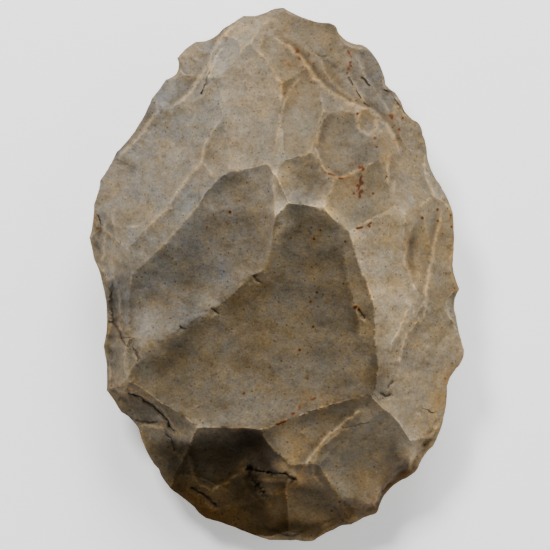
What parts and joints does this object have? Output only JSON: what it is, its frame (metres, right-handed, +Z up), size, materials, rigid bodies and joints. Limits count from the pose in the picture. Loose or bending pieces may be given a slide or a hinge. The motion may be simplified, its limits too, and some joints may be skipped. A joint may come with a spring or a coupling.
{
  "type": "stone hand axe",
  "caption": "Pear-shaped flaked stone hand axe with a wavy sharp edge, a rounded point, a blunt butt and a broad hollow scar on its upper face.",
  "frame": {"origin": "on the floor under the middle of the outline, with the axe lying on its lower face", "axes": "+Y runs to the point along the length, +X to the right as the upper face is seen, +Z up through the thickness"},
  "size_m": [0.098, 0.14, 0.0385],
  "materials": {
    "flint": "satin patinated flint, grey-brown to tan with pale worn ridges and rust specks"
  },
  "bodies": {
    "root": {"hand_axe": "flint"}
  },
  "joints": []
}
